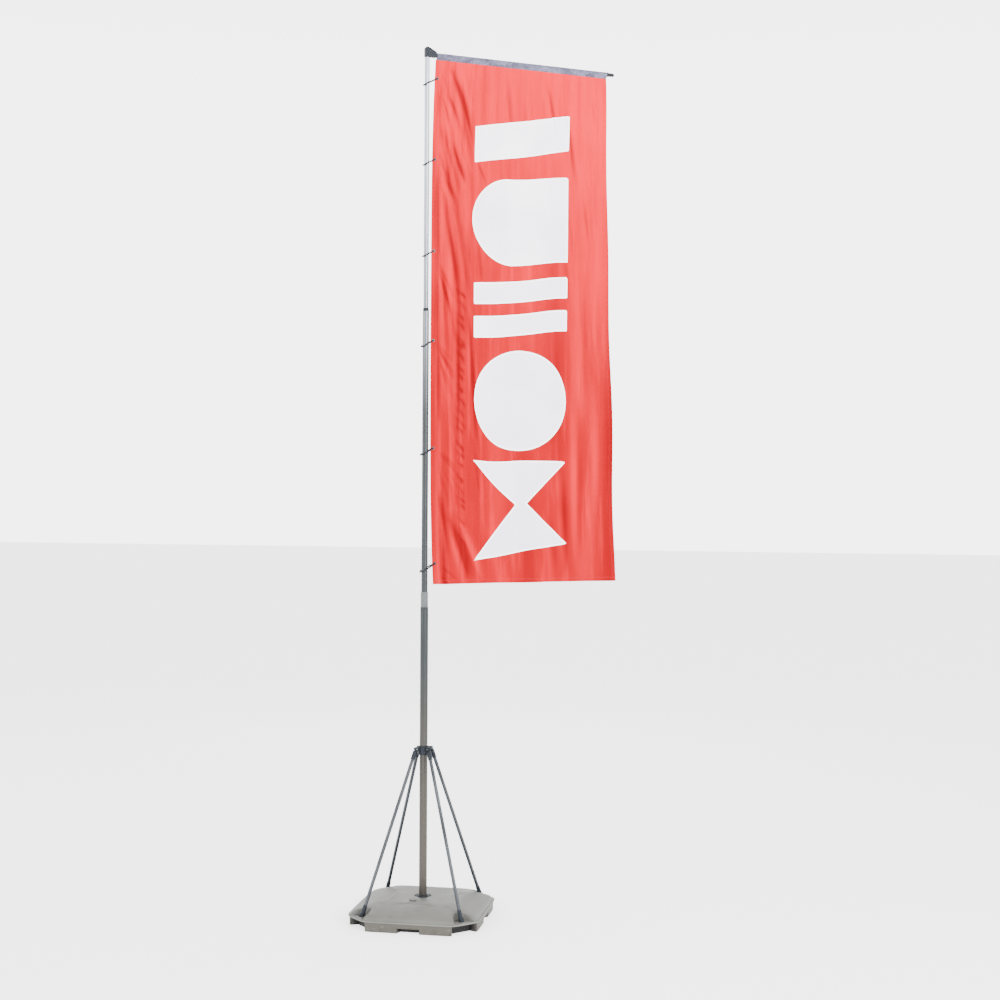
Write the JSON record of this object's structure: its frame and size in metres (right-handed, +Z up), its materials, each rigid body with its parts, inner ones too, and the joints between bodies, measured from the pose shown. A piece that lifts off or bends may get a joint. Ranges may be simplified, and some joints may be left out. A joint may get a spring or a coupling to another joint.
{
  "type": "banner flag with telescopic pole and water base",
  "caption": "Tall rectangular banner hung from a swivelling cross arm on a telescopic mast, held by plastic tie loops, with stays and a square water-filled base",
  "frame": {"origin": "on the mast's axis, on the ground plane under the tank", "axes": "+Z up along the mast, the tank's sides face X and Y, the arm and banner turned 33 degrees from +X towards +Y"},
  "size_m": [1.4063, 1.0396, 5.0046],
  "materials": {
    "tank_plastic": "satin",
    "water": "gloss",
    "slate_plastic": "satin",
    "nut_plastic": "satin",
    "black_plastic": "satin",
    "aluminium_tube": "satin",
    "stay_metal": "satin",
    "zinc_steel": "satin",
    "rubber": "matte",
    "banner_cloth": "satin",
    "pocket_cloth": "matte",
    "tape_webbing": "matte",
    "eyelet_metal": "satin"
  },
  "bodies": {
    "base": {"base_tank": "tank_plastic", "water_ballast": "water", "fill_cap_gasket": "rubber", "socket_sleeve": "slate_plastic", "mast_foot_plug": "slate_plastic", "mast_tube_lower": "aluminium_tube", "clamp_insert_lower": "slate_plastic"},
    "fill_cap": {"fill_cap": "tank_plastic"},
    "lower_nut": {"lock_nut_lower": "nut_plastic"},
    "hub": {"stay_hub": "slate_plastic", "stay_pin_1": "zinc_steel", "stay_pin_2": "zinc_steel", "stay_pin_3": "zinc_steel", "stay_pin_4": "zinc_steel"},
    "hub_screw": {"hub_thumb_screw": "slate_plastic"},
    "stay_1": {"stay_rod_1": "stay_metal", "stay_eye_1": "slate_plastic", "stay_foot_1": "slate_plastic"},
    "stay_2": {"stay_rod_2": "stay_metal", "stay_eye_2": "slate_plastic", "stay_foot_2": "slate_plastic"},
    "stay_3": {"stay_rod_3": "stay_metal", "stay_eye_3": "slate_plastic", "stay_foot_3": "slate_plastic"},
    "stay_4": {"stay_rod_4": "stay_metal", "stay_eye_4": "slate_plastic", "stay_foot_4": "slate_plastic"},
    "mast_middle": {"mast_tube_middle": "aluminium_tube", "guide_bush_middle": "slate_plastic", "clamp_insert_upper": "slate_plastic"},
    "upper_nut": {"lock_nut_upper": "slate_plastic"},
    "mast_upper": {"mast_tube_upper": "aluminium_tube", "guide_bush_upper": "slate_plastic", "head_spigot": "slate_plastic"},
    "head": {"head_elbow": "slate_plastic", "arm_tube": "aluminium_tube", "arm_screw": "zinc_steel", "arm_end_cap": "black_plastic", "banner": "banner_cloth", "banner_pocket": "pocket_cloth", "leading_edge_tape": "tape_webbing"},
    "ring_1": {"tie_ring_1": "slate_plastic", "grommet_1": "eyelet_metal"},
    "ring_2": {"tie_ring_2": "slate_plastic", "grommet_2": "eyelet_metal"},
    "ring_3": {"tie_ring_3": "slate_plastic", "grommet_3": "eyelet_metal"},
    "ring_4": {"tie_ring_4": "slate_plastic", "grommet_4": "eyelet_metal"},
    "ring_5": {"tie_ring_5": "slate_plastic", "grommet_5": "eyelet_metal"},
    "ring_6": {"tie_ring_6": "slate_plastic", "grommet_6": "eyelet_metal"}
  },
  "joints": [
    {"name": "mast_lower_slide", "type": "slide", "parent": "base", "child": "mast_middle", "axis": [0, 0, 1], "range_m": [-1.5, 0], "deforming": ["banner", "leading_edge_tape"]},
    {"name": "mast_upper_slide", "type": "slide", "parent": "mast_middle", "child": "mast_upper", "axis": [0, 0, 1], "range_m": [-0.9, 0]},
    {"name": "head_turn", "type": "hinge", "parent": "mast_upper", "child": "head", "pos_m": [0, 0, 4.95], "axis": [0, 0, 1], "continuous": true},
    {"name": "lower_nut_turn", "type": "hinge", "parent": "base", "child": "lower_nut", "pos_m": [0, 0, 1.83], "axis": [0, 0, 1], "range_deg": [0, 90]},
    {"name": "upper_nut_turn", "type": "hinge", "parent": "mast_middle", "child": "upper_nut", "pos_m": [0, 0, 3.5], "axis": [0, 0, 1], "range_deg": [0, 90]},
    {"name": "hub_slide", "type": "slide", "parent": "base", "child": "hub", "axis": [0, 0, 1], "range_m": [0, 0.55]},
    {"name": "hub_screw_turn", "type": "hinge", "parent": "hub", "child": "hub_screw", "pos_m": [0, 0.045, 0.965], "axis": [0, 1, 0], "continuous": true},
    {"name": "fill_cap_turn", "type": "hinge", "parent": "base", "child": "fill_cap", "pos_m": [-0.03, -0.116, 0.128], "axis": [0, 0, 1], "continuous": true},
    {"name": "stay_1_swing", "type": "hinge", "parent": "hub", "child": "stay_1", "pos_m": [0.03677, 0.03677, 0.975], "axis": [0.7071, -0.7071, 0], "range_deg": [0, 60]},
    {"name": "stay_2_swing", "type": "hinge", "parent": "hub", "child": "stay_2", "pos_m": [-0.03677, 0.03677, 0.975], "axis": [0.7071, 0.7071, 0], "range_deg": [0, 60]},
    {"name": "stay_3_swing", "type": "hinge", "parent": "hub", "child": "stay_3", "pos_m": [-0.03677, -0.03677, 0.975], "axis": [-0.7071, 0.7071, 0], "range_deg": [0, 60]},
    {"name": "stay_4_swing", "type": "hinge", "parent": "hub", "child": "stay_4", "pos_m": [0.03677, -0.03677, 0.975], "axis": [-0.7071, -0.7071, 0], "range_deg": [0, 60]},
    {"name": "ring_1_slide", "type": "slide", "parent": "head", "child": "ring_1", "axis": [0, 0, 1], "range_m": [0, 0.064]},
    {"name": "ring_2_slide", "type": "slide", "parent": "head", "child": "ring_2", "axis": [0, 0, 1], "range_m": [0, 0.343]},
    {"name": "ring_3_slide", "type": "slide", "parent": "head", "child": "ring_3", "axis": [0, 0, 1], "range_m": [0, 0.658]},
    {"name": "ring_4_slide", "type": "slide", "parent": "head", "child": "ring_4", "axis": [0, 0, 1], "range_m": [0, 0.967]},
    {"name": "ring_5_slide", "type": "slide", "parent": "head", "child": "ring_5", "axis": [0, 0, 1], "range_m": [0, 1.339]},
    {"name": "ring_6_slide", "type": "slide", "parent": "head", "child": "ring_6", "axis": [0, 0, 1], "range_m": [0, 1.738]}
  ],
  "couplings": [
    {"joint": "ring_1_slide", "follows": "mast_lower_slide", "ratio": -0.04232},
    {"joint": "ring_2_slide", "follows": "mast_lower_slide", "ratio": -0.22832},
    {"joint": "ring_3_slide", "follows": "mast_lower_slide", "ratio": -0.43832},
    {"joint": "ring_4_slide", "follows": "mast_lower_slide", "ratio": -0.64432},
    {"joint": "ring_5_slide", "follows": "mast_lower_slide", "ratio": -0.89232},
    {"joint": "ring_6_slide", "follows": "mast_lower_slide", "ratio": -1.1583}
  ]
}
